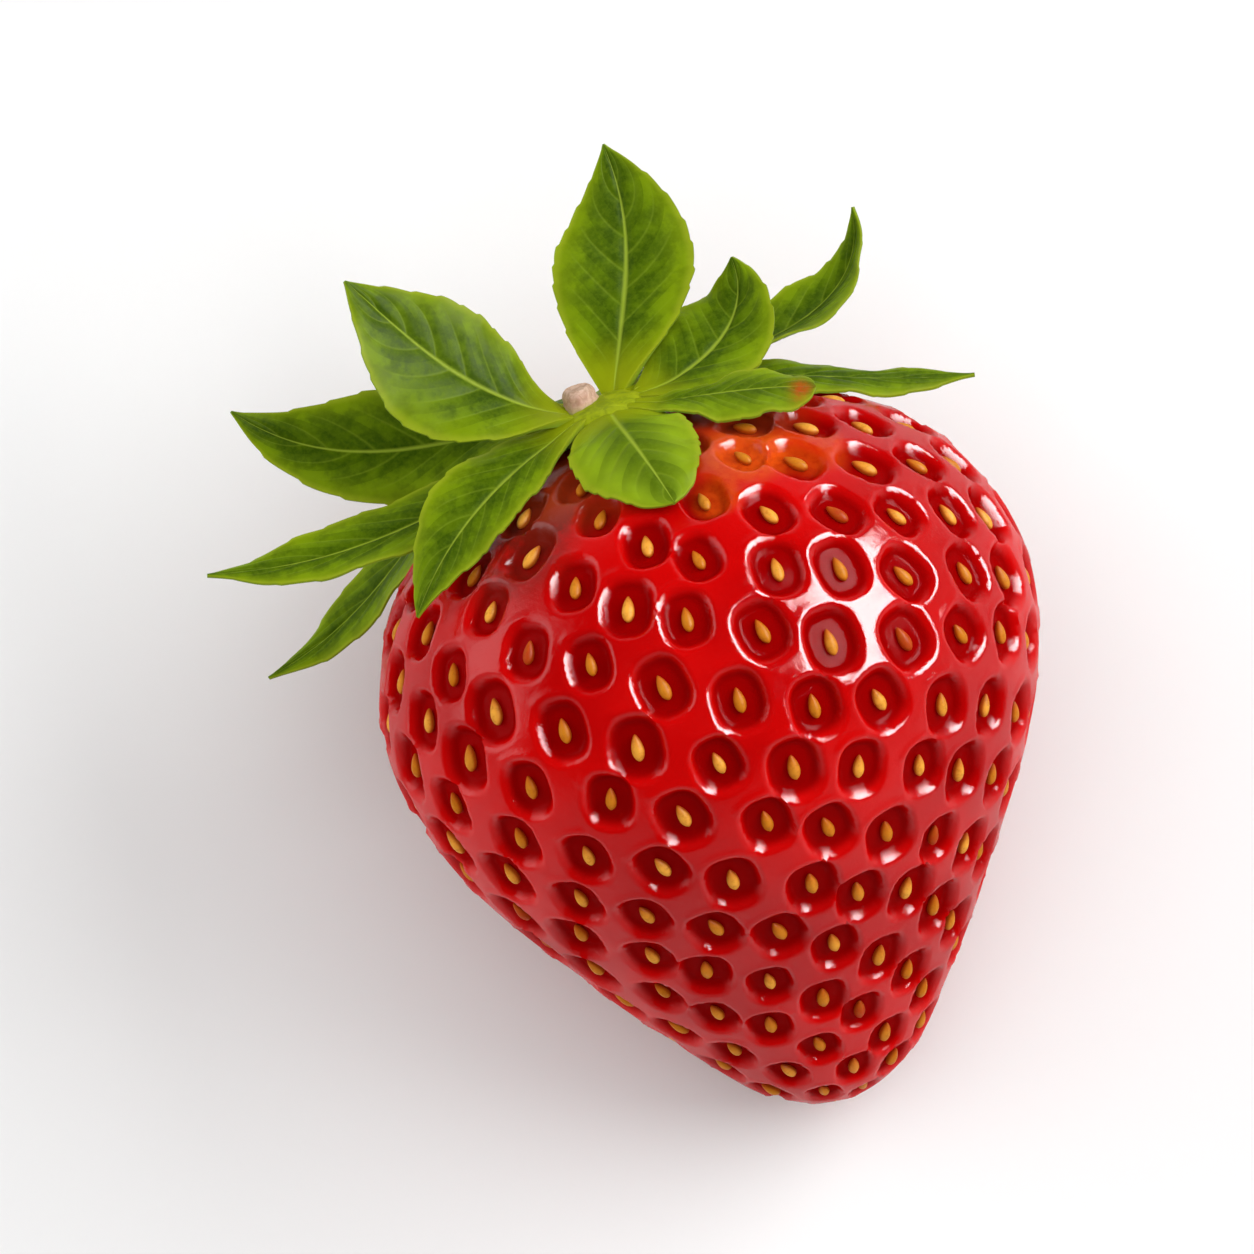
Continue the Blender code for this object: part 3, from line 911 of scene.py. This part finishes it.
def stem_material():
    m = Nodes("stem_stub_end")
    fibres = m.noise(2.4, 4.0, 0.65, 0.8)
    rim = m.ramp(m.attribute("from_axis"), 0.55, 0.95)
    colour = m.mix(m.ramp(fibres, 0.35, 0.7), STUB_TAN, STUB_PALE)
    colour = m.mix(m.math("MULTIPLY", rim, 0.6), colour, STUB_RIM)
    colour = m.mix(m.ramp(m.attribute("up"), 0.6, 0.1, 0.0, 0.9), colour, STUB_FOOT)
    m.put("Base Color", colour)
    m.put("Roughness", m.ramp(fibres, 0.3, 0.7, 0.5, 0.7))
    m.put("Specular IOR Level", 0.05)
    m.soft(0.2, (1.0, 0.6, 0.4), 0.6)
    m.bump(fibres, 0.6, 0.12)
    return m.material


# ---- Putting the pieces on the frame ---------------------------------------------------------------
def place_piece(piece, material, slot, *nodes):
    piece.data.materials.append(material)
    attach(piece, "root")
    if nodes:
        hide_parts(*nodes)


def make_berry():
    seeds = Seeds()
    place_piece(make_skin(seeds), skin_material(), "berry_skin", "berry")
    place_piece(make_seeds(seeds), seed_material(), "seed")


def make_calyx():
    green = leaf_material()
    rings = [(leaf, SEPAL_LEVEL) for leaf in SEPALS] + [(leaf, BRACT_LEVEL) for leaf in BRACTS]
    for number, (leaf, level) in enumerate(rings):
        place_piece(make_leaf(leaf, level, 20 + number), green, "leaf", leaf.name)
    place_piece(make_disc(), hub_material(), "calyx", "calyx_disc")
    place_piece(make_stub(), stem_material(), "stem", "stem_stub")


# ---- Floor, light and camera -----------------------------------------------------------------------
class View:
    """The camera's right, its up, the way towards it and what it looks at, in the row frame."""

    def __init__(self):
        turn = LAID.to_3x3()
        upright_right = turn @ Vector((1, 0, 0))
        upright_up = turn @ Vector((0, math.sin(VIEW_RISE), math.cos(VIEW_RISE)))
        self.towards = turn @ Vector((0, -math.cos(VIEW_RISE), math.sin(VIEW_RISE)))
        self.right = upright_right * math.cos(VIEW_ROLL) - upright_up * math.sin(VIEW_ROLL)
        self.up = upright_right * math.sin(VIEW_ROLL) + upright_up * math.cos(VIEW_ROLL)
        calyx = LAID @ CALYX_MIDDLE
        self.target = calyx + upright_right * VIEW_CENTRE[0] + upright_up * VIEW_CENTRE[1]

    def direction(self, right, up, towards):
        return self.right * right + self.up * up + self.towards * towards


def aim(obj, from_point, at_point, up):
    """Puts obj at a point so that its -Z looks at another, with its +Y towards up."""
    back = (from_point - at_point).normalized()
    right = up.cross(back).normalized()
    turn = Matrix((right, back.cross(right), back)).transposed().to_4x4()
    obj.matrix_world = Matrix.Translation(from_point) @ turn


def make_camera(view):
    data = bpy.data.cameras.new("camera")
    data.lens = CAMERA_LENS_MM
    camera = bpy.data.objects.new("camera", data)
    bpy.context.scene.collection.objects.link(camera)
    aim(camera, view.target + view.towards * CAMERA_DISTANCE, view.target, view.up)
    bpy.context.scene.camera = camera


def make_softbox(view, name, direction, distance, size, watts):
    data = bpy.data.lights.new(name, "AREA")
    data.shape = "RECTANGLE"
    data.size, data.size_y = size
    data.energy = watts
    light = bpy.data.objects.new(name, data)
    bpy.context.scene.collection.objects.link(light)
    spot = view.target + view.direction(*direction).normalized() * distance
    aim(light, spot, view.target, view.up)
    return light


def make_overhead_fill(view):
    """Soft light from round the camera, for the floor and the shadows. It gives no shine."""
    data = bpy.data.lights.new("overhead_fill", "SUN")
    data.energy = FILL_STRENGTH
    data.angle = FILL_SPREAD
    light = bpy.data.objects.new("overhead_fill", data)
    bpy.context.scene.collection.objects.link(light)
    light.visible_glossy = False
    aim(light, view.target + view.direction(*FILL_DIRECTION), view.target, view.up)


def make_studio_walls():
    """A studio that is bright near the floor and dark overhead."""
    world = bpy.data.worlds.new("studio")
    world.use_nodes = True
    tree = world.node_tree
    direction = tree.nodes.new("ShaderNodeTexCoord")
    split = tree.nodes.new("ShaderNodeSeparateXYZ")
    height = tree.nodes.new("ShaderNodeMapRange")
    height.interpolation_type = "SMOOTHSTEP"
    tree.links.new(direction.outputs["Generated"], split.inputs["Vector"])
    tree.links.new(split.outputs["Z"], height.inputs["Value"])
    gradient = (WALL_BRIGHT_TO, WALL_DARK_FROM, WALL_LIGHT, CEILING_LIGHT)
    for socket, value in zip(height.inputs[1:5], gradient):
        socket.default_value = value
    tree.nodes["Background"].inputs["Color"].default_value = (1, 1, 1, 1)
    tree.links.new(height.outputs["Result"], tree.nodes["Background"].inputs["Strength"])
    bpy.context.scene.world = world


def make_lights(view):
    # One softbox, as two lights: at the strength that its shine needs, it would burn the floor out.
    # The light for the shine is just in front, so that reflected rays reach it first.
    make_softbox(view, "key_softbox", KEY_DIRECTION, KEY_DISTANCE, KEY_SIZE, KEY_WATTS)
    shine = make_softbox(view, "shine_softbox", KEY_DIRECTION, SHINE_DISTANCE, KEY_SIZE, SHINE_WATTS)
    shine.visible_diffuse = False
    make_softbox(view, "left_softbox", LEFT_DIRECTION, LEFT_DISTANCE, LEFT_SIZE, LEFT_WATTS)
    make_overhead_fill(view)
    make_studio_walls()
    bpy.context.scene.view_settings.view_transform = "Standard"


def make_floor():
    corners = [(-1, -1), (1, -1), (1, 1), (-1, 1)]
    points = [(x * FLOOR_HALF_SIDE, y * FLOOR_HALF_SIDE, FLOOR_LEVEL) for x, y in corners]
    floor = add_mesh("floor", points, [(0, 1, 2, 3)])
    material = Nodes("pale_floor")
    material.put("Base Color", (*FLOOR_GREY, 1))
    material.put("Roughness", 0.7)
    material.put("Specular IOR Level", 0.0)
    floor.data.materials.append(material.material)


view = View()
make_camera(view)
make_lights(view)
make_floor()
make_berry()
make_calyx()
